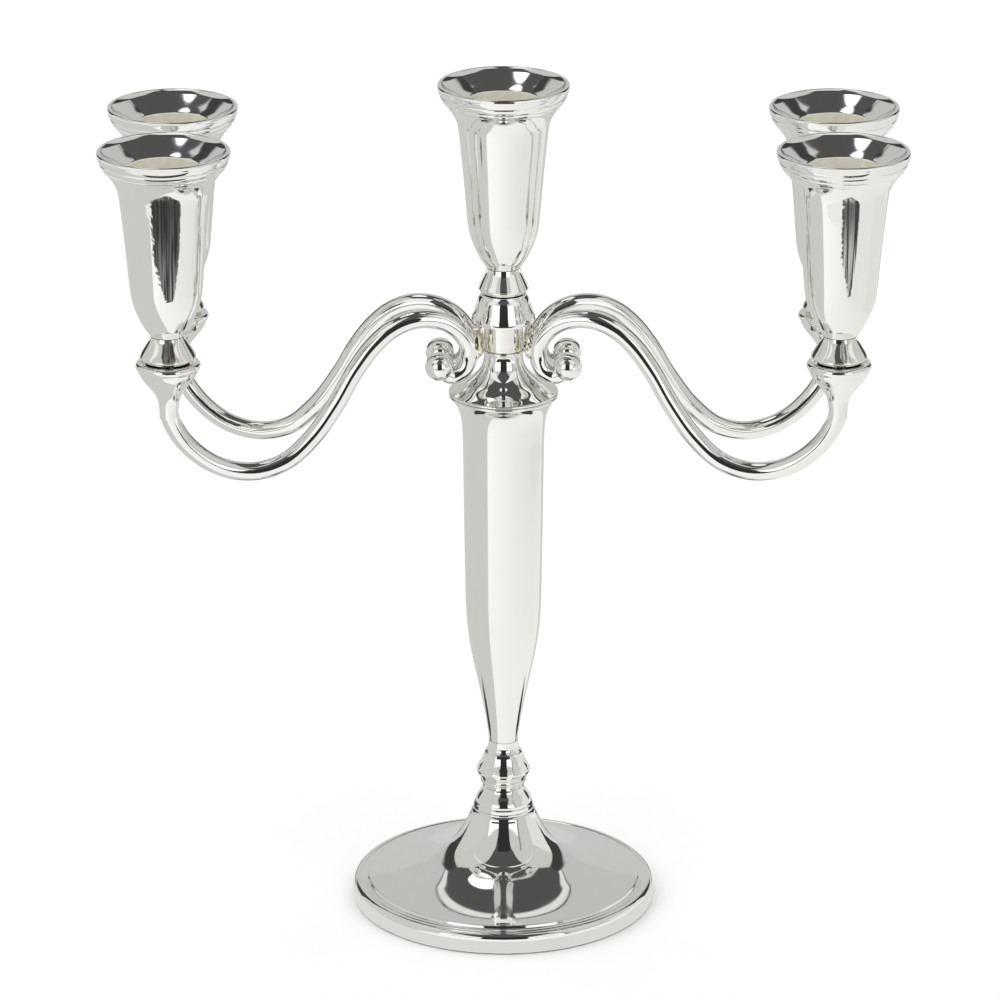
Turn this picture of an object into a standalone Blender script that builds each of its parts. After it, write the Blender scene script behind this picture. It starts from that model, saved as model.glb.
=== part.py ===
"""Five-light tabletop candelabra, silver plated, built as separate turned and bent pieces.

Sizes are in millimetres and become metres where a mesh or a place is made.
The axis of the stand is Z, the felt underneath rests on Z = 0, and the four side arms
leave the hub in two pairs, to -X and to +X.
"""
import bpy
import bmesh
from math import cos, pi, radians, sin
from mathutils import Matrix, Vector

MM = 0.001
GAP = 0.3                  # clearance kept between neighbouring pieces
SPLINE_STEPS = 2           # straight pieces between two points of a turned curve
TURN_STEPS = 16            # facets round a turned piece, and round the small ones
SMALL_STEPS = 12

# The stand
BASE_R = 48.9
FELT_R = 46.8
FELT_THICK = 1.2
FOOT_TOP = 30.0            # the flare of the foot ends here, under the collar
COLLAR_TOP = 38.7
KNOP_TOP = 54.7
COLUMN_TOP = 173.2
ROD_R = 3.0
SOCKET_BORE_R = 10.7       # the column's socket has the bore of a candle cup
SOCKET_FLOOR = 146.0

# The branch that plugs into the stand
PLUG_R = 10.3
PLUG_BOTTOM = 150.5
SKIRT_TOP = 188.0
HUB_R = 6.2
HUB_TOP = 197.2
BELL_TOP = 206.6
STUD_R = 2.5

# Cups and arms
CUP_RIM_R = 20.8
CUP_BORE_R = 11.6          # a candle of 22 mm with a little room
CUP_FOOT_H = 8.0
CUP_H = 60.0
CENTRE_CUP_Z = BELL_TOP + GAP
ARM_R = 2.9
BALL_R = 4.6
ARM_SPREAD = radians(11.9) # each arm leans this far from the plane through X and Z
ARM_OFFSET = 3.1           # and starts this far to its side
ARM_REACH = 106.9
PAN_R = 10.4
PAN_TOP = 192.3
SIDE_CUP_Z = PAN_TOP + GAP

# The centreline of an arm, as distance along the arm and height
ARM_PATH = [(19.6, 183.0), (16.2, 181.0), (13.2, 182.5), (11.5, 186.0), (11.1, 190.2), (13.4, 194.7),
            (18.2, 198.7), (24.0, 200.4), (30.0, 200.1), (36.0, 197.6), (41.8, 192.6),
            (47.3, 185.4), (54.0, 174.0), (61.6, 163.6), (70.0, 156.4), (79.5, 153.8),
            (89.5, 155.5), (98.2, 161.0), (104.6, 169.0), (106.9, 175.4), (106.9, 177.6)]
BALL_PLACE = (20.6, 184.4)
ARM_SIDES = {"left_front": (-1, -1), "left_back": (-1, 1), "right_front": (1, -1), "right_back": (1, 1)}


# ---------------------------------------------------------------- scene and materials

def clear_scene():
    for old in list(bpy.data.objects):
        bpy.data.objects.remove(old, do_unlink=True)


def make_material(name, colour, roughness, metallic):
    material = bpy.data.materials.new(name)
    material.use_nodes = True
    shader = material.node_tree.nodes["Principled BSDF"]
    shader.inputs["Base Color"].default_value = (*colour, 1.0)
    shader.inputs["Roughness"].default_value = roughness
    shader.inputs["Metallic"].default_value = metallic
    material.diffuse_color = (*colour, 1.0)
    return material


clear_scene()
parts = bpy.data.collections.new("tabletop_candelabra")
bpy.context.scene.collection.children.link(parts)
cutters = bpy.data.collections.new("cutters")
bpy.context.scene.collection.children.link(cutters)
SILVER = make_material("silver_plate", (0.93, 0.92, 0.89), 0.06, 1.0)
STEEL = make_material("zinc_steel", (0.60, 0.61, 0.63), 0.35, 1.0)
FELT = make_material("dark_felt", (0.05, 0.06, 0.05), 1.0, 0.0)


# ---------------------------------------------------------------- outlines

def curve(*points, steps=SPLINE_STEPS):
    """A smooth line through the points (Catmull-Rom)."""
    knots = [Vector(point) for point in points]
    knots = [2 * knots[0] - knots[1], *knots, 2 * knots[-1] - knots[-2]]
    line = []
    for a, b, c, d in zip(knots, knots[1:], knots[2:], knots[3:]):
        for step in range(steps):
            t = step / steps
            line.append(0.5 * (2 * b + (c - a) * t + (2 * a - 5 * b + 4 * c - d) * t * t
                               + (3 * b - 3 * c + d - a) * t ** 3))
    line.append(knots[-2])
    return [tuple(point) for point in line]


def arc(centre, radius, start, end, steps):
    """Points of a circle's arc, angles in degrees."""
    angles = [radians(start + (end - start) * i / steps) for i in range(steps + 1)]
    return [(centre[0] + radius * cos(a), centre[1] + radius * sin(a)) for a in angles]


# ---------------------------------------------------------------- makers

def link(name, mesh, material, place=(0, 0, 0)):
    """Put a finished mesh in the scene as a named piece, crisp edges kept sharp."""
    mesh.name = name
    mesh.materials.clear()
    mesh.materials.append(material)
    mesh.shade_smooth()
    mesh.set_sharp_from_angle(angle=radians(38))
    piece = bpy.data.objects.new(name, mesh)
    piece.location = Vector(place) * MM
    parts.objects.link(piece)
    return piece


def evaluated_mesh(source):
    """The mesh that an object's modifiers or curve settings make; the object is removed."""
    depsgraph = bpy.context.evaluated_depsgraph_get()
    mesh = bpy.data.meshes.new_from_object(source.evaluated_get(depsgraph))
    bpy.data.objects.remove(source, do_unlink=True)
    return mesh


def turned_mesh(outline, steps, ring=True):
    """Turn a half outline around Z. It runs down its outer side and, for a ring, back up its bore."""
    profile = bpy.data.meshes.new("outline")
    edges = [(i, i + 1) for i in range(len(outline) - 1)]
    if ring:
        edges.append((len(outline) - 1, 0))
    profile.from_pydata([(r * MM, 0, z * MM) for r, z in outline], edges, [])
    source = bpy.data.objects.new("outline", profile)
    parts.objects.link(source)
    screw = source.modifiers.new("Turn", "SCREW")
    screw.steps = screw.render_steps = steps
    screw.use_merge_vertices = True
    screw.merge_threshold = 0.00001
    return evaluated_mesh(source)


def turned(name, outline, material=SILVER, steps=TURN_STEPS, ring=True, place=(0, 0, 0)):
    return link(name, turned_mesh(outline, steps, ring), material, place)


def prism(radius, height, sides):
    """A closed prism round Z, from Z = 0 up, in millimetres."""
    shape = bmesh.new()
    bmesh.ops.create_cone(shape, cap_ends=True, segments=sides, radius1=radius * MM, radius2=radius * MM,
                          depth=height * MM, matrix=Matrix.Translation((0, 0, height / 2 * MM)))
    mesh = bpy.data.meshes.new("prism")
    shape.to_mesh(mesh)
    shape.free()
    return mesh


def cut(body, tool_mesh, place):
    """Cut a tool's shape out of a piece; the result is a plain mesh and both objects are removed."""
    tool = bpy.data.objects.new("tool", tool_mesh)
    tool.location = Vector(place) * MM
    cutters.objects.link(tool)
    boolean = body.modifiers.new("Cut", "BOOLEAN")
    boolean.operation = "DIFFERENCE"
    boolean.object = tool
    mesh = evaluated_mesh(body)
    bpy.data.objects.remove(tool, do_unlink=True)
    return mesh


def hex_nut(name, bottom, height, across_flats, hole_r):
    """A hexagon nut round the axis: a six-sided prism with a hole cut through it."""
    body = bpy.data.objects.new(name, prism(across_flats / 2 / cos(pi / 6), height, 6))
    parts.objects.link(body)
    link(name, cut(body, prism(hole_r, height + 2, 12), (0, 0, -1)), STEEL, (0, 0, bottom))


def sphere(radius, around=12, down=8):
    shape = bmesh.new()
    bmesh.ops.create_uvsphere(shape, u_segments=around, v_segments=down, radius=radius * MM)
    mesh = bpy.data.meshes.new("sphere")
    shape.to_mesh(mesh)
    shape.free()
    return mesh


# ---------------------------------------------------------------- the stand

def make_foot():
    """A broad trumpet, stepped down to a flat border with a bead round its edge."""
    flare = curve((9.9, FOOT_TOP), (11.2, 27.0), (12.8, 23.6), (15.0, 20.3), (18.0, 17.3), (22.3, 14.6),
                  (29.5, 11.6), (36.5, 9.5), (42.0, 8.3), (44.1, 8.0), steps=1)
    border = [(44.4, 7.0), (46.2, 6.8)]
    bead = arc((47.2, 5.2), 1.7, 90, 0, 4)
    inside = [(47.4, 0.5), (47.4, 5.1), (43.8, 6.5), (36.1, 8.1), (29.0, 10.2), (21.6, 13.3), (17.1, 16.1)]
    hollow = [(13.9, 19.2), (11.5, 22.9), (9.8, 26.4), (8.2, 28.4)]
    turned("base_foot", [(8.2, FOOT_TOP), *flare, *border, *bead, (BASE_R, 0.5), *inside, *hollow], steps=28)


def make_underside():
    turned("felt_pad", [(0, FELT_THICK), (FELT_R, FELT_THICK), (FELT_R, 0), (0, 0)], FELT, 24, ring=False)
    turned("clamp_washer", [(ROD_R + GAP, 16.7), (16.0, 16.7), (16.0, 15.3), (ROD_R + GAP, 15.3)], STEEL)
    hex_nut("base_nut", 10.0, 5.0, 10.0, ROD_R + GAP)
    turned("tie_rod", [(0, 153.4), (ROD_R, 153.4), (ROD_R, 7.0), (0, 7.0)], STEEL, 12, ring=False)


def make_collar_and_knop():
    bore = ROD_R + GAP
    collar = curve((6.7, COLLAR_TOP), (7.0, 37.3), (8.6, 34.5), (9.5, 32.1), (9.9, FOOT_TOP + GAP), steps=1)
    turned("base_collar", [(bore, COLLAR_TOP), *collar, (7.8, FOOT_TOP + GAP), (7.8, 28.8), (bore, 28.8)])
    ridge = curve((4.7, KNOP_TOP), (5.1, 52.2), (6.3, 50.0), (6.8, 48.6), (7.9, 47.1), (8.9, 45.3), steps=1)
    under = curve((8.9, 44.2), (8.5, 42.9), (7.6, 41.3), (6.8, 40.2), (6.7, COLLAR_TOP + GAP), steps=1)
    turned("lower_knop", [(bore, KNOP_TOP), *ridge, *under, (bore, COLLAR_TOP + GAP)])


def make_column():
    lip = arc((16.4, 172.2), 1.0, 90, -20, 4)
    body = curve((15.6, 170.2), (14.2, 168.1), (13.3, 164.0), (12.9, 154.0), (12.6, 130.0), (12.3, 107.0),
                 (11.5, 93.0), (9.6, 81.0), (7.0, 69.6), (5.2, 61.0), (4.7, KNOP_TOP + GAP), steps=1)
    bore = curve((ROD_R + GAP, 58.0), (4.4, 66.0), (7.6, 78.0), (10.2, 92.0), (11.1, 107.0), (11.5, 130.0),
                 (11.7, 154.0), (11.9, 163.0), (13.7, 169.0), (15.3, COLUMN_TOP), steps=1)
    turned("column", [*lip, *body, (ROD_R + GAP, KNOP_TOP + GAP), *bore], steps=20)


def make_socket():
    outer_r = SOCKET_BORE_R + 0.6
    outer = [(14.2, 172.2), (outer_r + 0.2, 164.0), (outer_r, 160.0), (outer_r, SOCKET_FLOOR)]
    inner = [(ROD_R + GAP, SOCKET_FLOOR), (ROD_R + GAP, SOCKET_FLOOR + 1), (SOCKET_BORE_R, SOCKET_FLOOR + 1),
             (SOCKET_BORE_R, 164.0), (13.6, 172.8)]
    turned("column_socket", [*outer, *inner])
    hex_nut("rod_nut", SOCKET_FLOOR + 1.3, 4.0, 10.0, ROD_R + GAP)


# ---------------------------------------------------------------- the branch

def make_plug():
    bore = STUD_R + GAP
    wall = [(bore, 179.4), (4.6, 179.4), (6.6, 177.2), (PLUG_R, 174.6), (PLUG_R, PLUG_BOTTOM + 1.2),
            (PLUG_R - 1.0, PLUG_BOTTOM)]
    hollow = [(8.3, PLUG_BOTTOM), (8.3, 163.0), (bore, 163.0)]
    turned("socket_plug", [*wall, *hollow])


def make_hub():
    bore = STUD_R + GAP
    top = curve((5.9, SKIRT_TOP), (6.3, 184.4), (7.3, 181.4), (9.3, 178.6), (12.6, 176.1), (17.2, 174.7))
    under = curve((15.6, COLUMN_TOP + GAP), (12.0, 174.9), (8.3, 177.4), (6.0, 180.6), (5.0, 184.4), steps=1)
    edge = [(17.5, 174.2), (17.2, COLUMN_TOP + GAP)]
    turned("branch_skirt", [(bore, SKIRT_TOP), *top, *edge, *under, (5.0, 186.6), (bore, 186.6)])
    turned("branch_hub", [(bore, HUB_TOP), (HUB_R, HUB_TOP), (HUB_R, SKIRT_TOP + GAP), (bore, SKIRT_TOP + GAP)])
    bell = curve((7.1, BELL_TOP), (8.2, 204.6), (8.8, 202.4), (9.6, 200.4), (10.1, 198.2), (10.0, HUB_TOP + GAP), steps=1)
    turned("bell_cap", [(bore, BELL_TOP), *bell, (bore, HUB_TOP + GAP)])
    turned("branch_stud", [(0, CENTRE_CUP_Z + 5), (STUD_R, CENTRE_CUP_Z + 5), (STUD_R, 156.4), (0, 156.4)],
           STEEL, 12, ring=False)
    hex_nut("stud_nut", 158.7, 4.0, 8.0, STUD_R + GAP)


def make_cup(name, place):
    """A candle cup and its screwed foot, with the foot's underside at the given place."""
    foot_top = CUP_FOOT_H
    ridge = curve((5.3, foot_top), (6.1, 6.6), (7.2, 3.6), (7.9, 1.9), (7.7, 0.8), (7.0, 0), steps=1)
    hole_r = STUD_R + GAP
    turned(name + "_foot", [(hole_r, foot_top), *ridge, (hole_r, 0)], steps=SMALL_STEPS, place=place)

    low = foot_top + GAP
    lip = arc((CUP_RIM_R - 0.6, CUP_H + low - 0.9), 0.6, 70, -40, 2)
    bell = curve((19.2, 62.8), (16.9, 60.0), (14.5, 56.0), (13.5, 49.0), (12.8, 39.0), (11.9, 29.0), (11.1, 21.0),
                 (9.4, 15.6), (7.2, 11.6), (5.3, low), steps=1)
    bowl = [(3.4, low), (3.4, 15.0), (CUP_BORE_R - 1.6, 22.0), (CUP_BORE_R, 26.0), (CUP_BORE_R, CUP_H + low - 6.0)]
    mouth = curve((13.4, CUP_H + low - 4.9), (17.2, CUP_H + low - 2.6), (19.6, CUP_H + low - 0.4), steps=1)
    turned(name, [*lip, *bell, *bowl, *mouth], place=place)


def arm_place(side, along, height):
    """World place of a point of an arm, from its distance along the arm and its height."""
    to_x, to_y = side
    return (to_x * along * cos(ARM_SPREAD), to_y * (ARM_OFFSET + along * sin(ARM_SPREAD)), height)


def make_arm(name, side):
    """The bent rod from its scroll at the hub to the pan's funnel, with the ball at its end."""
    line = [arm_place(side, *point) for point in curve(*ARM_PATH, steps=1)]
    data = bpy.data.curves.new(name, "CURVE")
    data.dimensions = "3D"
    data.bevel_depth = ARM_R * MM
    data.bevel_resolution = 2
    data.render_resolution_u = 0
    data.use_fill_caps = True
    spline = data.splines.new("POLY")
    spline.points.add(len(line) - 1)
    for point, place in zip(spline.points, line):
        point.co = (*(Vector(place) * MM), 1)
    rod = bpy.data.objects.new(name, data)
    parts.objects.link(rod)
    mesh = evaluated_mesh(rod)
    weld(mesh)
    body = bpy.data.objects.new(name, mesh)
    parts.objects.link(body)
    ball_place = arm_place(side, *BALL_PLACE)
    link("arm_" + name, cut(body, sphere(BALL_R + GAP), ball_place), SILVER)
    link("scroll_ball_" + name, sphere(BALL_R), SILVER, ball_place)


def weld(mesh):
    """Join a curve's loose caps to its wall."""
    shape = bmesh.new()
    shape.from_mesh(mesh)
    bmesh.ops.remove_doubles(shape, verts=shape.verts, dist=0.000001)
    bmesh.ops.recalc_face_normals(shape, faces=shape.faces)
    shape.to_mesh(mesh)
    shape.free()


def make_pan(name, side):
    """The drip pan at an arm's end: a beaded disc on a funnel that takes the rod, with a stud on top."""
    centre = arm_place(side, ARM_REACH, 0)
    bead = arc((PAN_R - 1.6, PAN_TOP - 1.6), 1.6, 80, -70, 4)
    funnel = curve((8.2, 187.6), (5.6, 184.6), (3.9, 181.4), (3.2, 178.2), steps=1)
    turned("pan_" + name, [(STUD_R + GAP, PAN_TOP), *bead, *funnel, (STUD_R + GAP, 178.2)], steps=SMALL_STEPS, place=centre)
    turned("cup_stud_" + name, [(0, SIDE_CUP_Z + 5), (STUD_R, SIDE_CUP_Z + 5), (STUD_R, 186), (0, 186)],
           STEEL, 10, ring=False, place=centre)
    make_cup("cup_" + name, (centre[0], centre[1], SIDE_CUP_Z))


make_foot()
make_underside()
make_collar_and_knop()
make_column()
make_socket()
make_plug()
make_hub()
make_cup("cup_centre", (0, 0, CENTRE_CUP_Z))
for arm_name, arm_side in ARM_SIDES.items():
    make_arm(arm_name, arm_side)
    make_pan(arm_name, arm_side)
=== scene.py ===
"""The looks of the five-light candelabra: fine turned metal, bent arms, felt and a studio."""
from math import cos, pi, radians, sin

import bpy
import bmesh
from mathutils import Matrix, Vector, noise


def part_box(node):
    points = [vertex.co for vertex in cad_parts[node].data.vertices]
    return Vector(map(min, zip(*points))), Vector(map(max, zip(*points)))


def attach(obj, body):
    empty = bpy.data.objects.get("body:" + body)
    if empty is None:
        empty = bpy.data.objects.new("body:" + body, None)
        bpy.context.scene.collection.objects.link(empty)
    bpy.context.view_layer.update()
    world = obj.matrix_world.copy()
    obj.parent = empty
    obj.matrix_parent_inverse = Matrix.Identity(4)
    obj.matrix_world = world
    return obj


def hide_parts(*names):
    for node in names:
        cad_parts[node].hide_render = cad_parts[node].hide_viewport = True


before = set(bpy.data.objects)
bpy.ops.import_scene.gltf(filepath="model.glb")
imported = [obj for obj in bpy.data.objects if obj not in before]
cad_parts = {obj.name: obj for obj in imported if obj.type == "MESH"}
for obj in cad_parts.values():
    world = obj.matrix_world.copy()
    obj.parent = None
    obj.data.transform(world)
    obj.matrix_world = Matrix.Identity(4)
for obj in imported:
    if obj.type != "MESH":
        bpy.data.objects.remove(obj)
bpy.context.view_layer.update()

MM = 0.001
FOOT_ROUND = 192           # facets round the foot
WIDE_ROUND = 160           # round the column, the skirt and the felt
ROUND = 128                # round the other large turned pieces
SMALL_ROUND = 96
ROD_ROUND = 36             # round a bent arm
FINE = 8                   # straight pieces between two points of a turned curve

# Heights along the axis, read from the frame, in millimetres
def low(node):
    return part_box(node)[0][2] / MM


def high(node):
    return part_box(node)[1][2] / MM


FOOT_TOP = high("base_foot")
BASE_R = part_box("base_foot")[1][0] / MM
COLLAR_TOP = high("base_collar")
KNOP_TOP = high("lower_knop")
COLUMN_TOP = high("column")
SKIRT_TOP = high("branch_skirt")
HUB_TOP = high("branch_hub")
BELL_TOP = high("bell_cap")
PAN_TOP = high("pan_left_front")
RING = FOOT_TOP + 1.5      # the seam between the foot and its collar
BORE_R = 11.6
BORE_MOUTH = 62.2          # above the cup's foot
ROD_HOLE = 3.3
STUD_HOLE = 2.8
SEAM = 0.12                # hairline left between two visible pieces

# The arms, as in the CAD: each in an upright plane of its own
ARM_R = 2.95
BALL_R = 4.6
ARM_SPREAD = radians(11.9)
ARM_OFFSET = 3.1
ARM_REACH = 106.9
ARM_PATH = [(19.6, 183.0), (16.2, 181.0), (13.2, 182.5), (11.5, 186.0), (11.1, 190.2), (13.4, 194.7),
            (18.2, 198.7), (24.0, 200.4), (30.0, 200.1), (36.0, 197.6), (41.8, 192.6),
            (47.3, 185.4), (54.0, 174.0), (61.6, 163.6), (70.0, 156.4), (79.5, 153.8),
            (89.5, 155.5), (98.2, 161.0), (104.6, 169.0), (106.9, 175.4), (106.9, 177.6)]
BALL_PLACE = (20.6, 184.4)
ARM_SIDES = {"left_front": (-1, -1), "left_back": (-1, 1), "right_front": (1, -1), "right_back": (1, 1)}


# ---------------------------------------------------------------- node helpers

class Nodes:
    """Short calls for building a node tree: each returns the new node's output socket."""

    def __init__(self, tree):
        self.tree = tree
        self.tree.nodes.clear()

    def add(self, kind, **settings):
        node = self.tree.nodes.new(kind)
        for name, value in settings.items():
            setattr(node, name, value)
        return node

    def feed(self, socket, value):
        if isinstance(value, bpy.types.NodeSocket):
            self.tree.links.new(value, socket)
        else:
            socket.default_value = value

    def math(self, operation, a, b=0.0, c=0.0):
        node = self.add("ShaderNodeMath", operation=operation)
        for socket, value in zip(node.inputs, (a, b, c)):
            self.feed(socket, value)
        return node.outputs[0]

    def ramp(self, value, low_in, high_in, low_out=0.0, high_out=1.0, smooth=True):
        node = self.add("ShaderNodeMapRange")
        node.interpolation_type = "SMOOTHSTEP" if smooth else "LINEAR"
        for socket, number in zip(node.inputs, (value, low_in, high_in, low_out, high_out)):
            self.feed(socket, number)
        return node.outputs[0]

    def between(self, value, start, end, soft):
        """1 where the value lies between start and end, falling to 0 over soft."""
        rise = self.ramp(value, start - soft, start + soft)
        fall = self.ramp(value, end - soft, end + soft, 1.0, 0.0)
        return self.math("MULTIPLY", rise, fall)

    def mix(self, factor, a, b):
        node = self.add("ShaderNodeMix", data_type="RGBA")
        self.feed(node.inputs[0], factor)
        self.feed(node.inputs[6], a)
        self.feed(node.inputs[7], b)
        return node.outputs[2]

    def combine(self, x, y, z):
        node = self.add("ShaderNodeCombineXYZ")
        for socket, value in zip(node.inputs, (x, y, z)):
            self.feed(socket, value)
        return node.outputs[0]

    def noise(self, vector, scale, detail=2.0, rough=0.5):
        node = self.add("ShaderNodeTexNoise")
        self.feed(node.inputs["Vector"], vector)
        node.inputs["Scale"].default_value = scale
        node.inputs["Detail"].default_value = detail
        node.inputs["Roughness"].default_value = rough
        return node.outputs[0]

    def bump(self, height, distance, strength=1.0, normal=None):
        node = self.add("ShaderNodeBump")
        self.feed(node.inputs["Height"], height)
        node.inputs["Strength"].default_value = strength
        node.inputs["Distance"].default_value = distance
        if normal is not None:
            self.feed(node.inputs["Normal"], normal)
        return node.outputs[0]


def new_material(name):
    material = bpy.data.materials.new(name)
    material.use_nodes = True
    nodes = Nodes(material.node_tree)
    shader = nodes.add("ShaderNodeBsdfPrincipled")
    output = nodes.add("ShaderNodeOutputMaterial")
    nodes.feed(output.inputs["Surface"], shader.outputs[0])
    return material, nodes, shader


# ---------------------------------------------------------------- materials

SILVER_BRIGHT = (0.905, 0.90, 0.885, 1.0)
SILVER_WARM = (0.885, 0.868, 0.825, 1.0)
# brownish colour of the bands: a tarnish tint, also used as painted shade at joints
TARNISH_AND_SHADE = (0.74, 0.63, 0.42, 1.0)


def silver(name, rough=0.035, turned_marks=True, line_height=0.0000012, tarnish_and_shade_bands=()):
    """Polished silver plate: faint warm clouds, fine polishing lines and hairline wear."""
    material, nodes, shader = new_material(name)
    place = nodes.add("ShaderNodeTexCoord").outputs["Object"]
    split = nodes.add("ShaderNodeSeparateXYZ")
    nodes.feed(split.inputs[0], place)
    x, y, z = split.outputs
    radius = nodes.math("SQRT", nodes.math("ADD", nodes.math("MULTIPLY", x, x), nodes.math("MULTIPLY", y, y)))
    if turned_marks:
        along = nodes.math("MULTIPLY", nodes.math("ADD", z, radius), 60.0)
        grain_place = nodes.combine(x, y, along)
    else:
        grain_place = place
    clouds = nodes.noise(place, 55.0, 3.0)
    colour = nodes.mix(nodes.ramp(clouds, 0.45, 0.75, 0.0, 0.35), SILVER_BRIGHT, SILVER_WARM)
    # Brownish bands along the axis: a tarnish tint, and painted shade where a band marks a joint between two
    # pieces, as at the cup foot's lower edge.
    for start, end, soft, amount in tarnish_and_shade_bands:
        band = nodes.between(z, start * MM, end * MM, soft * MM)
        patches = nodes.ramp(nodes.noise(place, 240.0, 3.0), 0.38, 0.62, 0.25, 1.0)
        patchy = nodes.math("MULTIPLY", band, patches)
        colour = nodes.mix(nodes.math("MULTIPLY", patchy, amount), colour, TARNISH_AND_SHADE)
    nodes.feed(shader.inputs["Base Color"], colour)
    grain = nodes.noise(grain_place, 42.0, 4.0, 0.65)
    smears = nodes.noise(place, 130.0, 2.0)
    uneven = nodes.math("MULTIPLY", nodes.ramp(smears, 0.35, 0.8), 0.03)
    fine = nodes.math("MULTIPLY", nodes.ramp(grain, 0.4, 0.8), 0.03)
    nodes.feed(shader.inputs["Roughness"], nodes.math("ADD", nodes.math("ADD", uneven, fine), rough))
    hammer = nodes.noise(place, 90.0, 1.0)
    soft_waves = nodes.bump(hammer, 0.000004)
    nodes.feed(shader.inputs["Normal"], nodes.bump(grain, line_height, 1.0, soft_waves))
    shader.inputs["Metallic"].default_value = 1.0
    return material


def steel(name):
    """Zinc-plated steel of the hidden rod, studs, nuts and washer."""
    material, nodes, shader = new_material(name)
    place = nodes.add("ShaderNodeTexCoord").outputs["Object"]
    grain = nodes.noise(place, 900.0, 3.0)
    spangle = nodes.noise(place, 160.0, 2.0)
    nodes.feed(shader.inputs["Base Color"],
               nodes.mix(nodes.ramp(spangle, 0.35, 0.7), (0.50, 0.51, 0.53, 1.0), (0.68, 0.69, 0.70, 1.0)))
    nodes.feed(shader.inputs["Roughness"], nodes.ramp(grain, 0.3, 0.7, 0.28, 0.46))
    nodes.feed(shader.inputs["Normal"], nodes.bump(grain, 0.00002))
    shader.inputs["Metallic"].default_value = 1.0
    return material


def felt(name):
    """Dense wool felt: matted fibres in two sizes and a little lint."""
    material, nodes, shader = new_material(name)
    place = nodes.add("ShaderNodeTexCoord").outputs["Object"]
    fibres = nodes.noise(place, 1500.0, 5.0, 0.75)
    mats = nodes.noise(place, 160.0, 3.0)
    dark = nodes.mix(nodes.ramp(mats, 0.3, 0.7), (0.012, 0.016, 0.013, 1.0), (0.030, 0.036, 0.030, 1.0))
    lint = nodes.ramp(fibres, 0.58, 0.8)
    nodes.feed(shader.inputs["Base Color"], nodes.mix(lint, dark, (0.10, 0.11, 0.10, 1.0)))
    nodes.feed(shader.inputs["Roughness"], nodes.ramp(fibres, 0.2, 0.8, 0.88, 1.0))
    height = nodes.math("ADD", fibres, nodes.math("MULTIPLY", mats, 0.8))
    nodes.feed(shader.inputs["Normal"], nodes.bump(height, 0.0003))
    shader.inputs["Sheen Weight"].default_value = 0.4
    shader.inputs["Specular IOR Level"].default_value = 0.2
    return material


def braze(name):
    """Silver solder left where pieces are brazed: yellowish, a little dull and lumpy."""
    material, nodes, shader = new_material(name)
    place = nodes.add("ShaderNodeTexCoord").outputs["Object"]
    stain = nodes.noise(place, 420.0, 3.0)
    nodes.feed(shader.inputs["Base Color"],
               nodes.mix(nodes.ramp(stain, 0.35, 0.65), (0.93, 0.90, 0.82, 1.0), (0.80, 0.72, 0.50, 1.0)))
    nodes.feed(shader.inputs["Roughness"], nodes.ramp(stain, 0.3, 0.7, 0.08, 0.24))
    nodes.feed(shader.inputs["Normal"], nodes.bump(stain, 0.00004))
    shader.inputs["Metallic"].default_value = 1.0
    return material


def satin_bore(name):
    """The rougher, slightly yellow plating down inside a candle bore."""
    material, nodes, shader = new_material(name)
    place = nodes.add("ShaderNodeTexCoord").outputs["Object"]
    stain = nodes.noise(place, 300.0, 3.0)
    nodes.feed(shader.inputs["Base Color"],
               nodes.mix(nodes.ramp(stain, 0.35, 0.65), (0.96, 0.95, 0.88, 1.0), (0.86, 0.84, 0.72, 1.0)))
    nodes.feed(shader.inputs["Roughness"], nodes.ramp(stain, 0.3, 0.7, 0.30, 0.45))
    nodes.feed(shader.inputs["Normal"], nodes.bump(stain, 0.00003))
    shader.inputs["Metallic"].default_value = 0.3
    return material


SATIN_TURNED = silver("silver_column", rough=0.06)
BRIGHT_TURNED = silver("silver_turned")
CUP_SILVER = silver("silver_cup", rough=0.05)
# darker brownish bands where the hub meets the skirt and the bell
HUB_SILVER = silver("silver_hub", rough=0.07,
                    tarnish_and_shade_bands=((SKIRT_TOP - 1.5, SKIRT_TOP + 1.6, 0.6, 0.30),
                                   (HUB_TOP - 1.2, HUB_TOP + 1.0, 0.5, 0.25)))
# brownish band at the cup foot's lower edge: painted shade at its joint with the pan, tinted like tarnish
FOOT_SILVER = silver("silver_cup_foot", tarnish_and_shade_bands=((-1.0, 0.5, 0.3, 0.8),))
ROD_SILVER = silver("silver_rod", rough=0.03, turned_marks=False)
STEEL = steel("zinc_steel_fine")
FELT = felt("wool_felt")
BRAZE = braze("braze_metal")
BORE = satin_bore("satin_bore")


# ---------------------------------------------------------------- shapes

def curve(*points, steps=FINE):
    """A smooth line through the points, its slope at each one weighted by the distances beside it."""
    knots = [Vector(point) for point in points]
    gaps = [(b - a).length for a, b in zip(knots, knots[1:])]
    runs = [(b - a) / gap for a, b, gap in zip(knots, knots[1:], gaps)]
    inner = [(one * after + two * before) / (before + after)
             for one, two, before, after in zip(runs, runs[1:], gaps, gaps[1:])]
    slopes = [1.5 * runs[0] - 0.5 * inner[0], *inner, 1.5 * runs[-1] - 0.5 * inner[-1]] if inner else runs * 2
    line = []
    for i, gap in enumerate(gaps):
        for step in range(steps):
            t = step / steps
            rise = t * t * (3 - 2 * t)
            line.append(knots[i] * (1 - rise) + knots[i + 1] * rise
                        + gap * (slopes[i] * t * (1 - t) ** 2 - slopes[i + 1] * t * t * (1 - t)))
    line.append(knots[-1])
    return [tuple(point) for point in line]


def arc(centre, radius, start, end, steps=FINE):
    """Points of a circle's arc, angles in degrees."""
    angles = [radians(start + (end - start) * i / steps) for i in range(steps + 1)]
    return [(centre[0] + radius * cos(a), centre[1] + radius * sin(a)) for a in angles]


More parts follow.
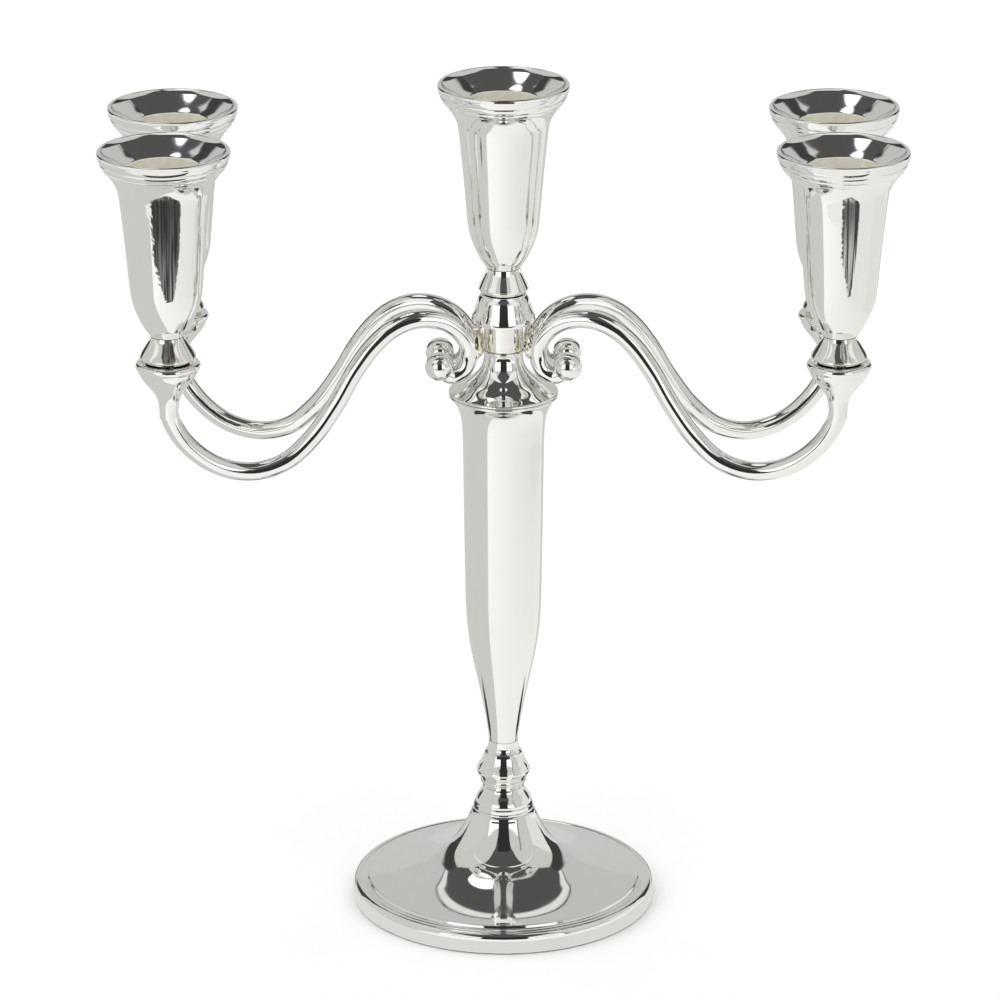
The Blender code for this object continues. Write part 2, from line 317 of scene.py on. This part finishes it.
def shown(name, mesh, material, body, nodes, place=(0, 0, 0), sharp=32):
    """A finished mesh as a piece of the object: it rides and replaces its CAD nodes."""
    mesh.materials.append(material)
    mesh.shade_smooth()
    mesh.set_sharp_from_angle(angle=radians(sharp))
    piece = bpy.data.objects.new(name, mesh)
    piece.location = Vector(place) * MM
    bpy.context.scene.collection.objects.link(piece)
    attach(piece, body)
    if nodes:
        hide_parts(*nodes)


def lathe_mesh(outline, around):
    """Turn a closed half outline, listed down its outer side and back up inside, round Z."""
    shape = bmesh.new()
    rings = []
    for r, z in outline:
        if r < 1e-6:
            rings.append([shape.verts.new((0, 0, z * MM))])
        else:
            rings.append([shape.verts.new((r * cos(a) * MM, r * sin(a) * MM, z * MM))
                          for a in [2 * pi * i / around for i in range(around)]])
    closed = outline[0][0] > 1e-6
    followers = rings[1:] + (rings[:1] if closed else [])
    for upper, lower in zip(rings, followers):
        for i in range(around):
            j = (i + 1) % around
            corners = [upper[i % len(upper)], lower[i % len(lower)],
                       lower[j % len(lower)], upper[j % len(upper)]]
            kept = [vert for k, vert in enumerate(corners) if vert not in corners[:k]]
            if len(kept) > 2:
                shape.faces.new(kept)
    mesh = bpy.data.meshes.new("turned")
    shape.to_mesh(mesh)
    shape.free()
    return mesh


def lathe(name, outline, material, body, node, around=ROUND, place=(0, 0, 0)):
    shown(name, lathe_mesh(outline, around), material, body, [node], place)


# ---------------------------------------------------------------- the stand

def make_foot():
    """The broad trumpet foot, with a small step down to its border and a bead round the edge."""
    top = [(8.2, RING), *arc((9.3, RING - 0.3), 0.3, 90, 10, 4)]
    flare = curve((9.65, RING - 0.6), (10.05, 30.6), (10.85, 28.7), (11.9, 26.5), (13.25, 23.9),
                  (15.05, 20.9), (17.75, 17.7), (22.3, 14.65), (29.5, 11.6), (36.5, 9.5), (42.0, 8.3),
                  (43.5, 8.05), steps=12)
    step = [*arc((43.7, 7.7), 0.3, 85, 15, 6), (44.15, 7.45), *arc((44.5, 7.4), 0.3, 195, 265, 5)]
    border = [(45.2, 7.02), *arc((46.05, 7.1), 0.28, 225, 315, 6)]
    bead = curve((46.45, 7.0), (47.2, 7.0), (48.0, 6.55), (48.55, 5.9), (BASE_R - 0.1, 5.0),
                 (BASE_R - 0.03, 3.0), (BASE_R - 0.02, 1.2), steps=6)
    rim = arc((BASE_R - 0.42, 0.9), 0.4, 0, -90, 5)
    inside = [(47.4, 0.5), (47.4, 5.1), (43.8, 6.5), (36.1, 8.1), (29.0, 10.2), (21.6, 13.3), (17.1, 16.1)]
    hollow = [(13.9, 19.2), (11.5, 22.9), (9.8, 26.4), (8.2, 28.4)]
    outline = [*top, *flare, *step, *border, *bead, *rim, *inside, *hollow]
    lathe("foot_shell", outline, BRIGHT_TURNED, "stand", "base_foot", FOOT_ROUND)


def make_felt():
    """The felt disc glued into the foot's rim, with a rounded edge."""
    edge = curve((46.6, 1.15), (46.8, 0.7), (46.7, 0.15), (46.3, 0.0), steps=5)
    upper = [(0, 1.2), *[(r, 1.2) for r in (10, 20, 30, 38, 44)]]
    lower = [*[(r, 0.0) for r in (44, 38, 30, 20, 10)], (0, 0)]
    lathe("felt_disc", [*upper, *edge, *lower], FELT, "stand", "felt_pad", WIDE_ROUND)


def make_collar_and_knop():
    """The two turned pieces between the foot and the column."""
    bottom = RING + SEAM
    collar = curve((6.62, COLLAR_TOP), (6.75, 38.2), (7.3, 37.1), (8.15, 35.8), (8.85, 34.6), (9.15, 33.7),
                   (9.2, 33.1))
    foot = [(9.4, 32.9), (9.55, 32.7), (9.55, bottom)]
    spigot = [(7.8, bottom), (7.8, 28.8), (ROD_HOLE, 28.8)]
    lathe("collar_ring", [(ROD_HOLE, COLLAR_TOP), *collar, *foot, *spigot], BRIGHT_TURNED, "stand",
          "base_collar", SMALL_ROUND)
    neck = curve((4.72, KNOP_TOP), (4.9, 53.2), (5.2, 51.9), (5.75, 50.9))
    step = curve((6.05, 50.7), (6.3, 49.7), (6.7, 48.5), (7.35, 47.1), (8.25, 45.5), (8.62, 44.6),
                 (8.5, 43.9), (8.1, 43.0), (7.65, 42.1), (7.35, 41.3))
    waist = [*arc((7.1, 41.0), 0.35, 60, -60, 5), *arc((6.75, 40.2), 0.4, 70, -70, 5),
             (6.65, COLLAR_TOP + SEAM)]
    lathe("knop", [(ROD_HOLE, KNOP_TOP), *neck, *step, *waist, (ROD_HOLE, COLLAR_TOP + SEAM)],
          BRIGHT_TURNED, "stand", "lower_knop", SMALL_ROUND)


def make_column():
    """The hollow column with its flared lip, and the socket that stands in its top."""
    lip = arc((16.8, COLUMN_TOP - 0.5), 0.5, 90, -55, 10)
    body = curve((16.9, COLUMN_TOP - 1.1), (16.1, 171.2), (15.0, 169.5), (14.05, 167.3), (13.45, 164.8),
                 (13.1, 161.0), (12.85, 152.0), (12.72, 140.0), (12.5, 124.0), (12.25, 110.0), (11.95, 99.0),
                 (11.2, 91.0), (9.85, 83.0), (8.35, 76.0), (6.95, 69.3), (5.75, 63.0), (5.0, 58.2),
                 (4.72, KNOP_TOP + SEAM))
    bore = curve((ROD_HOLE, 58.0), (4.4, 66.0), (7.6, 78.0), (10.2, 92.0), (11.1, 107.0), (11.5, 130.0),
                 (11.7, 154.0), (12.0, 163.0), (13.8, 169.0), (15.6, 172.6))
    lathe("column_body", [*lip, *body, (ROD_HOLE, KNOP_TOP + SEAM), *bore], SATIN_TURNED, "stand", "column",
          WIDE_ROUND)
    mouth = curve((11.3, 146.0), (11.3, 160.0), (11.5, 164.0), (13.0, 168.6), (14.7, 172.0))
    inner = [*curve((14.4, 172.4), (12.4, 168.6), (10.9, 164.6), (10.7, 162.0)), (10.7, 147.0),
             (ROD_HOLE, 147.0)]
    lathe("socket_cup", [*mouth[::-1], (ROD_HOLE, 146.0), *inner[::-1]], BRIGHT_TURNED, "stand",
          "column_socket")


# ---------------------------------------------------------------- the branch

def make_plug():
    """The hollow plug that stands in the column's socket."""
    shoulder = [*arc((4.2, 179.0), 0.4, 90, 20, 4), *curve((5.4, 178.0), (7.4, 176.4), (9.9, 174.9)),
                *arc((9.9, 174.4), 0.4, 60, 0, 3)]
    end = [(10.3, 152.2), *curve((10.2, 151.6), (9.8, 150.8), (9.2, 150.5)), (8.5, 150.5), (8.3, 150.8)]
    lathe("plug_body", [(STUD_HOLE, 179.4), *shoulder, *end, (8.3, 163.0), (STUD_HOLE, 163.0)],
          BRIGHT_TURNED, "plug", "socket_plug")


def make_hub():
    """The skirt on the column's lip, the plain cylinder above it and the bell cap."""
    bead = arc((6.0, SKIRT_TOP - 0.55), 0.55, 90, -60, 7)
    trumpet = curve((6.1, 186.6), (6.25, 184.9), (6.75, 182.9), (7.8, 181.0), (9.4, 179.2), (11.6, 177.4),
                    (14.0, 175.6), (16.2, 174.5), (16.9, COLUMN_TOP + 0.98))
    edge = arc((16.98, COLUMN_TOP + 0.57), 0.42, 80, -70, 7)
    under = curve((15.6, COLUMN_TOP + 0.15), (12.0, 175.0), (8.6, 177.6), (6.0, 181.0), (5.0, 184.4))
    rest = (16.9, COLUMN_TOP + 0.15)
    shelf = [(5.0, 186.6), (STUD_HOLE, 186.6)]
    lathe("skirt", [(STUD_HOLE, SKIRT_TOP), *bead, *trumpet, *edge, rest, *under, *shelf],
          BRIGHT_TURNED, "branch", "branch_skirt", WIDE_ROUND)
    bottom = SKIRT_TOP + SEAM
    wall = [(6.2, HUB_TOP - 0.2), (6.2, HUB_TOP - 0.5), (6.2, HUB_TOP - 0.8),    # close rings keep the wall's
            (6.2, bottom + 0.8), (6.2, bottom + 0.5), (6.2, bottom + 0.2)]       # shading straight
    lathe("hub_body", [(STUD_HOLE, HUB_TOP), (6.1, HUB_TOP), *wall, (6.1, bottom), (STUD_HOLE, bottom)],
          HUB_SILVER, "branch", "branch_hub", SMALL_ROUND)
    top = [(6.6, BELL_TOP), *arc((6.9, BELL_TOP - 0.35), 0.35, 90, -10, 4)]
    bell = curve((7.3, 206.0), (7.8, 205.3), (8.3, 204.2), (8.7, 202.7), (9.15, 201.2), (9.7, 199.8),
                 (10.05, 198.6), (10.1, 197.9))
    lathe("bell", [(STUD_HOLE, BELL_TOP), *top, *bell, (9.9, HUB_TOP + SEAM), (STUD_HOLE, HUB_TOP + SEAM)],
          BRIGHT_TURNED, "branch", "bell_cap", SMALL_ROUND)


def cup_outline():
    """Down the outside from the rim, then up the candle bore and the funnel."""
    centre, thick = (19.86, 67.05), 0.9
    roll = [*arc(centre, thick, 95, -15, 9),
            *curve((20.64, 66.6), (20.5, 65.9), (20.25, 65.2), (20.0, 64.75), steps=4)]
    band = curve((19.85, 64.6), (19.95, 64.4), (19.85, 63.9), (19.45, 63.2), (19.0, 62.65), steps=4)
    bell = curve((18.85, 62.5), (18.87, 62.3), (18.5, 61.7), (17.6, 60.75), (16.6, 59.5), (15.5, 57.7),
                 (14.6, 55.7), (14.1, 53.0), (13.7, 49.5), (13.25, 45.0), (12.75, 40.0), (12.3, 35.0),
                 (11.9, 30.0), (11.55, 26.0), (11.15, 22.0), (10.5, 18.7), (9.55, 15.8), (8.3, 13.0),
                 (7.0, 10.6), (5.9, 9.0), (5.35, 8.2), steps=5)
    seat = [(0, 8.2), (0, 20.0), (3.0, 20.1)]
    bowl = curve((6.0, 20.6), (9.0, 21.8), (10.8, 24.0), (11.5, 27.0), steps=5)
    mouth = [(BORE_R, 61.9), *arc((BORE_R + 0.35, 62.0), 0.35, 180, 125, 4)]
    funnel = [(12.2, 62.55), (14.0, 63.85), (16.0, 65.3), (18.0, 66.6), (19.15, 67.4),
              *arc(centre, thick, 125, 105, 2)]
    outside = [*roll, *band, *bell]
    return outside, [*bowl, *mouth, *funnel], seat


def closed_cup(name, node, body, place):
    """A cup is one closed skin: axis, inside up to the rim, outside down to the neck, axis."""
    outside, inside, seat = cup_outline()
    outline = [seat[1], seat[2], *inside, *outside, seat[0]]
    mesh = lathe_mesh(outline, ROUND)
    shown(name, mesh, CUP_SILVER, body, [node], place=place)
    mesh.materials.append(BORE)
    for face in mesh.polygons:
        outward = face.center.x * face.normal.x + face.center.y * face.normal.y
        bore_wall = outward < 0 and face.center.z < BORE_MOUTH * MM
        bore_floor = face.normal.z > 0.9 and face.center.z < BORE_MOUTH / 2 * MM
        if bore_wall or bore_floor:
            face.material_index = 1


def make_cup_and_foot(name, place, width):
    """A cup on its turned foot: the side cups' feet spread wider than the middle one's."""
    closed_cup("bowl_" + name, "cup_" + name, "branch", place)
    spread = width - 7.9
    foot = curve((5.3, 8.0), (5.55 + 0.2 * spread, 6.9), (6.1 + 0.4 * spread, 5.6), (6.75 + 0.65 * spread, 4.2),
                 (7.45 + 0.9 * spread, 2.7), (width, 1.7), steps=5)
    ridge = [*arc((width - 0.45, 1.25), 0.5, 40, -60, 5), (width - 0.6, 0.7), (width - 1.0, 0.5),
             (width - 1.1, SEAM)]
    lathe("foot_" + name, [(STUD_HOLE, 8.0), *foot, *ridge, (STUD_HOLE, SEAM)], FOOT_SILVER, "branch",
          "cup_" + name + "_foot", SMALL_ROUND, place)


def arm_place(side, along, height):
    to_x, to_y = side
    return Vector((to_x * along * cos(ARM_SPREAD), to_y * (ARM_OFFSET + along * sin(ARM_SPREAD)), height))


def make_arm(name, side):
    """A bent round rod in its upright plane, a little thinner in the scroll."""
    line = [Vector(point) for point in curve(*ARM_PATH, steps=10)]
    outward = Vector((side[0] * cos(ARM_SPREAD), side[1] * sin(ARM_SPREAD), 0))
    across = outward.cross(Vector((0, 0, 1)))
    shape = bmesh.new()
    rings = []
    for i, point in enumerate(line):
        ahead = line[min(i + 1, len(line) - 1)] - line[max(i - 1, 0)]
        ahead.normalize()
        normal = outward * -ahead.y + Vector((0, 0, 1)) * ahead.x
        radius = ARM_R * (0.90 + 0.10 * min(1.0, i / 40))
        centre = arm_place(side, point.x, point.y)
        rings.append([shape.verts.new((centre + radius * (cos(a) * normal + sin(a) * across)) * MM)
                      for a in [2 * pi * k / ROD_ROUND for k in range(ROD_ROUND)]])
    for one, two in zip(rings, rings[1:]):
        for k in range(ROD_ROUND):
            shape.faces.new((one[k], one[(k + 1) % ROD_ROUND], two[(k + 1) % ROD_ROUND], two[k]))
    shape.faces.new(rings[0])
    shape.faces.new(rings[-1])
    bmesh.ops.recalc_face_normals(shape, faces=shape.faces)
    mesh = bpy.data.meshes.new("rod")
    shape.to_mesh(mesh)
    shape.free()
    shown("rod_" + name, mesh, ROD_SILVER, "branch", ["arm_" + name])


def make_ball(name, side):
    """The ball brazed to the end of an arm's scroll."""
    shape = bmesh.new()
    bmesh.ops.create_uvsphere(shape, u_segments=64, v_segments=40, radius=BALL_R * MM)
    mesh = bpy.data.meshes.new("ball")
    shape.to_mesh(mesh)
    shape.free()
    shown("ball_" + name, mesh, ROD_SILVER, "branch", ["scroll_ball_" + name],
          place=arm_place(side, *BALL_PLACE))


def blob(name, centre, size, seed):
    """A small lumpy fillet of braze metal."""
    shape = bmesh.new()
    bmesh.ops.create_icosphere(shape, subdivisions=4, radius=1.0)
    for vert in shape.verts:
        lump = 1.0 + 0.16 * noise.noise(vert.co * 1.7 + Vector((seed, 0, 0)))
        vert.co = Vector((vert.co.x * size[0], vert.co.y * size[1], vert.co.z * size[2])) * lump * MM
    mesh = bpy.data.meshes.new("braze")
    shape.to_mesh(mesh)
    shape.free()
    shown(name, mesh, BRAZE, "branch", [], place=centre)


def make_pan(name, side):
    """A beaded drip pan whose funnel takes the end of the rod."""
    centre = arm_place(side, ARM_REACH, 0)
    bead = arc((8.85, PAN_TOP - 1.45), 1.35, 88, -50, 14)
    funnel = curve((9.5, 189.5), (8.9, 187.9), (7.6, 185.8), (5.9, 183.7), (4.4, 181.6), (3.4, 179.5),
                   (3.05, 177.4), (2.98, 173.6))
    top = [(STUD_HOLE, PAN_TOP - 0.25), (7.4, PAN_TOP - 0.25), (8.2, PAN_TOP - 0.2)]
    lathe("pan_disc_" + name, [*top, *bead, *funnel, (2.2, 173.6), (2.2, 186.0), (STUD_HOLE, 186.4)],
          BRIGHT_TURNED, "branch", "pan_" + name, SMALL_ROUND, place=centre)


make_foot()
make_felt()
make_collar_and_knop()
make_column()
make_plug()
make_hub()
make_cup_and_foot("centre", (0, 0, low("cup_centre_foot")), 7.9)
for arm_name, arm_side in ARM_SIDES.items():
    make_arm(arm_name, arm_side)
    make_ball(arm_name, arm_side)
    make_pan(arm_name, arm_side)
    reach = arm_place(arm_side, ARM_REACH, low("cup_left_front_foot"))
    make_cup_and_foot(arm_name, reach, 8.8)
    contact = arm_place(arm_side, 8.6, 190.4)
    blob("braze_hub_" + arm_name, contact, (2.2, 2.6, 4.2), arm_side[0] + 3 * arm_side[1])
    fillet = arm_place(arm_side, 17.6, 182.4)
    blob("braze_ball_" + arm_name, fillet, (1.6, 2.6, 1.6), 7 + arm_side[0] + 2 * arm_side[1])

HIDDEN_STEEL = ("clamp_washer", "base_nut", "tie_rod", "rod_nut", "branch_stud", "stud_nut")
for node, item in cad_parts.items():
    if node in HIDDEN_STEEL or "stud_" in node:
        item.data.materials.clear()
        item.data.materials.append(STEEL)


# ---------------------------------------------------------------- studio

CAMERA_LENS = 197.8
CAMERA_PITCH = radians(19.9)
CAMERA_DISTANCE = 1.7545
CAMERA_AIM = Vector((-0.0011, 0, 0.137))
FLOOR_R = 6.0

# How bright each part of the room is
WALL = 0.62
BACKDROP = 0.56
STRIP = 0.80               # the light edge behind the dark ceiling
CORNER = 0.05              # the dark corners left and right of the backdrop
WINDOW = 1.30
DARK = 0.03                # round the camera, and the flags
SHADE = 0.30
CEILING = 0.085
LAMP = 1.6
PALE = 0.985               # how much less blue than red the room's light holds


def make_camera():
    """A long lens a little above the candelabra."""
    data = bpy.data.cameras.new("camera")
    data.sensor_width = 36.0
    data.lens = CAMERA_LENS
    camera = bpy.data.objects.new("camera", data)
    back = CAMERA_DISTANCE * Vector((0, -cos(CAMERA_PITCH), sin(CAMERA_PITCH)))
    camera.location = CAMERA_AIM + back
    camera.rotation_euler = (pi / 2 - CAMERA_PITCH, 0, 0)
    bpy.context.scene.collection.objects.link(camera)
    bpy.context.scene.camera = camera


def make_floor():
    """A plain white table top without an end in sight."""
    shape = bmesh.new()
    bmesh.ops.create_circle(shape, cap_ends=True, segments=96, radius=FLOOR_R)
    mesh = bpy.data.meshes.new("floor")
    shape.to_mesh(mesh)
    shape.free()
    material, nodes, shader = new_material("floor_white")
    shader.inputs["Base Color"].default_value = (0.93, 0.93, 0.925, 1.0)
    shader.inputs["Roughness"].default_value = 0.9
    shader.inputs["Specular IOR Level"].default_value = 0.1
    mesh.materials.append(material)
    floor = bpy.data.objects.new("floor", mesh)
    bpy.context.scene.collection.objects.link(floor)


def make_world():
    """The room round the object: grey walls, two tall windows, a dark ceiling and dark corners."""
    world = bpy.data.worlds.new("studio")
    bpy.context.scene.world = world
    world.use_nodes = True
    nodes = Nodes(world.node_tree)
    split = nodes.add("ShaderNodeSeparateXYZ")
    nodes.feed(split.inputs[0], nodes.add("ShaderNodeTexCoord").outputs["Generated"])
    x, y, z = split.outputs
    elevation = nodes.math("MULTIPLY", nodes.math("ARCSINE", z), 180 / pi)
    bearing = nodes.math("MULTIPLY", nodes.math("ARCTAN2", x, nodes.math("MULTIPLY", y, -1.0)), 180 / pi)
    wide = nodes.math("ABSOLUTE", bearing)
    over = nodes.math("MAXIMUM", z, 0.001)
    right = nodes.math("DIVIDE", x, over)
    behind = nodes.math("DIVIDE", y, over)

    def patch(colour, value, across, start, end, up, bottom, top, soft=0.7):
        mask = nodes.math("MULTIPLY", nodes.between(across, start, end, soft),
                          nodes.between(up, bottom, top, soft))
        return nodes.mix(mask, colour, (value, value, value * PALE, 1.0))

    colour = (WALL, WALL, WALL * 0.98, 1.0)
    colour = patch(colour, BACKDROP, wide, 141.0, 190.0, elevation, -5.0, 52.0)
    colour = patch(colour, STRIP, behind, 0.78, 0.89, right, -0.9, 0.9, 0.015)
    colour = patch(colour, CORNER, behind, 0.905, 0.925, right, -0.9, 0.9, 0.006)
    upward = nodes.math("MAXIMUM", elevation, 0.0)
    outer = nodes.math("SUBTRACT", wide, nodes.math("MULTIPLY", upward, 0.12))
    inner = nodes.math("ADD", wide, nodes.math("MULTIPLY", upward, 0.29))
    band = nodes.math("MULTIPLY", nodes.ramp(outer, 124.0, 127.0),
                      nodes.ramp(inner, 152.5, 155.5, 1.0, 0.0))
    band = nodes.math("MULTIPLY", band, nodes.ramp(elevation, 53.0, 56.0, 1.0, 0.0))
    colour = nodes.mix(band, colour, (CORNER, CORNER, CORNER, 1.0))
    colour = patch(colour, WINDOW, bearing, -48.0, -16.0, elevation, -5.0, 27.0)
    colour = patch(colour, WINDOW, bearing, 18.0, 46.0, elevation, -5.0, 27.0)
    colour = patch(colour, DARK, bearing, -16.0, 18.0, elevation, -5.0, 31.0)
    colour = patch(colour, SHADE, bearing, 46.5, 51.0, elevation, -5.0, 40.0)
    reach = nodes.ramp(behind, 0.1, 0.62, 0.5, 0.67)
    side = nodes.math("SUBTRACT", nodes.math("ABSOLUTE", right), reach)
    above = nodes.math("MULTIPLY", nodes.between(behind, -1.75, 0.80, 0.015),
                       nodes.ramp(side, -0.02, 0.02, 1.0, 0.0))
    above = nodes.math("MULTIPLY", above, nodes.ramp(z, 0.0, 0.1))
    colour = nodes.mix(above, colour, (CEILING, CEILING, CEILING, 1.0))
    aside = nodes.math("ADD", right, 0.22)
    back = nodes.math("SUBTRACT", behind, 0.30)
    square = nodes.math("ADD", nodes.math("MULTIPLY", aside, aside), nodes.math("MULTIPLY", back, back))
    spot = nodes.math("SQRT", square)
    over_head = nodes.math("MULTIPLY", nodes.ramp(spot, 0.165, 0.18, 1.0, 0.0), nodes.ramp(z, 0.0, 0.1))
    colour = nodes.mix(over_head, colour, (LAMP, LAMP, LAMP, 1.0))
    background = nodes.add("ShaderNodeBackground")
    nodes.feed(background.inputs["Color"], colour)
    output = nodes.add("ShaderNodeOutputWorld")
    nodes.feed(output.inputs["Surface"], background.outputs[0])


def board(name, faces, value, far_value=None, painted_light_streaks=0.0):
    """Flat reflectors or flags beside the object, seen only in the metal; a second value is met to the right.

    A flag given painted light streaks glows pale in upright streaks, more of them toward the bottom: painted
    light in the metal's reflection of the flag."""
    mesh = bpy.data.meshes.new(name)
    corners = [corner for face in faces for corner in face]
    starts = [sum(len(face) for face in faces[:i]) for i in range(len(faces))]
    sides = [tuple(range(start, start + len(face))) for start, face in zip(starts, faces)]
    mesh.from_pydata(corners, [], sides)
    material = bpy.data.materials.new(name)
    material.use_nodes = True
    nodes = Nodes(material.node_tree)
    glow = nodes.add("ShaderNodeEmission")
    near = (value, value, value * PALE, 1.0)
    split = nodes.add("ShaderNodeSeparateXYZ")
    nodes.feed(split.inputs[0], nodes.add("ShaderNodeTexCoord").outputs["Object"])
    far_value = value if far_value is None else far_value
    across = nodes.ramp(split.outputs[0], -0.3, 0.4, smooth=False)
    colour = nodes.mix(across, near, (far_value, far_value, far_value * PALE, 1.0))
    if painted_light_streaks:
        x, y, z = split.outputs
        threads = nodes.noise(nodes.combine(x, y, nodes.math("MULTIPLY", z, 0.1)), 420.0, 3.0)
        fading = nodes.ramp(z, 0.205, 0.238, painted_light_streaks, 0.15 * painted_light_streaks)
        painted_streaks_here = nodes.math("MULTIPLY", nodes.ramp(threads, 0.38, 0.66), fading)
        colour = nodes.mix(painted_streaks_here, colour, (0.95, 0.95, 0.93, 1.0))
    nodes.feed(glow.inputs["Color"], colour)
    nodes.feed(nodes.add("ShaderNodeOutputMaterial").inputs["Surface"], glow.outputs[0])
    mesh.materials.append(material)
    piece = bpy.data.objects.new(name, mesh)
    piece.visible_camera = False
    piece.visible_diffuse = False
    piece.visible_shadow = False
    bpy.context.scene.collection.objects.link(piece)


def upright(start, end, bottom, top):
    """A standing rectangle between two points of the floor."""
    (x0, y0), (x1, y1) = start, end
    return [(x0, y0, bottom), (x1, y1, bottom), (x1, y1, top), (x0, y0, top)]


def sector(outer, start, end, height):
    """Part of a disc lying on the table, between two bearings from the front."""
    steps = 48
    angles = [radians(start + (end - start) * i / steps) for i in range(steps + 1)]
    rim = [(outer * sin(a), -outer * cos(a), height) for a in angles]
    return rim if end - start == 360 else [(0, 0, height), *rim]


def ragged(left, right, y, bottom, top, seed):
    """A flag with ragged edges, as strips of uneven length that taper to the bottom."""
    strips = []
    count = 70             # strips from bottom to top
    for i in range(count):
        z0 = bottom + (top - bottom) * i / count
        z1 = bottom + (top - bottom) * (i + 1) / count
        taper = max(0.0, 1 - i / 26) * (right - left)
        fray = 0.12 * (right - left) * (noise.noise(Vector((seed, i * 0.9, 0))) + 0.4)
        other = 0.05 * (right - left) * noise.noise(Vector((seed + 9, i * 0.7, 0)))
        strips.append(upright((left + 0.45 * taper + fray, y), (right - 0.30 * taper + other, y), z0, z1))
    return strips


def make_boards():
    """Grey boards, dark flags and light sheets that give the metal something to mirror; the sheets lying on the
    table are painted light and shade of the table.
    """
    board("board_left", [upright((-0.34, -0.33), (-0.34, 0.247), 0.001, 0.20),
                         upright((-0.34, 0.247), (-0.205, 0.42), 0.001, 0.030)], 0.64)
    board("board_back", [upright((-0.205, 0.42), (0.205, 0.42), 0.001, 0.20)], BACKDROP + 0.04)
    board("board_right", [upright((0.205, 0.42), (0.34, 0.247), 0.001, 0.030),
                          upright((0.34, 0.247), (0.40, -0.05), 0.001, 0.20)], 0.80)
    board("flag_front", [upright((-0.143, -0.50), (0.165, -0.50), 0.06, 0.50),
                         upright((-0.42, -0.499), (0.42, -0.499), 0.06, 0.12)], DARK)
    # pale streaks on the two cup flags are painted light: they fade the cups' dark reflection toward its bottom
    # edge
    board("flag_left_cup", ragged(-0.1206, -0.081, -0.055, 0.202, 0.245, 1.5), DARK, painted_light_streaks=0.35)
    board("flag_right_cup", ragged(0.102, 0.1243, -0.055, 0.206, 0.245, 4.5), DARK, painted_light_streaks=1.0)
    board("strip_above", [[(x0, -0.056, 0.230), (x1, -0.056, 0.230), (x1, -0.184, 0.706), (x0, -0.184, 0.706)]
                          for x0, x1 in ((-0.35, -0.045), (0.045, 0.35))], 0.9)
    # dark sectors by the back corners: painted shade of the table, seen only in the metal
    board("corner_shade", [sector(0.115, 110, 156, 0.0007), sector(0.115, 204, 250, 0.0007)], CORNER)
    # bright sheet on the table, dimmer to the right: painted light falling off across the table, seen only in
    # the metal
    board("table_sheet", [sector(1.2, -46, 140, 0.0006)], 1.06, 0.84)
    # grey table behind and to the left: painted shade, seen only in the metal
    board("table_shade", [sector(1.2, 140, 314, 0.0006)], 0.64)
    # grey disc round the foot: painted shadow of the foot on the table, seen only in the metal
    board("foot_shade", [sector(0.066, -180, 180, 0.0008)], 0.76)


def make_key_light():
    """Even light from above that keeps the floor white and its shadow faint."""
    data = bpy.data.lights.new("soft_key", "SUN")
    data.angle = radians(110)
    data.energy = 2.3
    light = bpy.data.objects.new("soft_key", data)
    light.rotation_euler = (radians(8), radians(-6), 0)
    light.visible_glossy = False
    bpy.context.scene.collection.objects.link(light)


make_camera()
make_floor()
make_world()
make_boards()
make_key_light()
bpy.context.scene.view_settings.view_transform = "Standard"
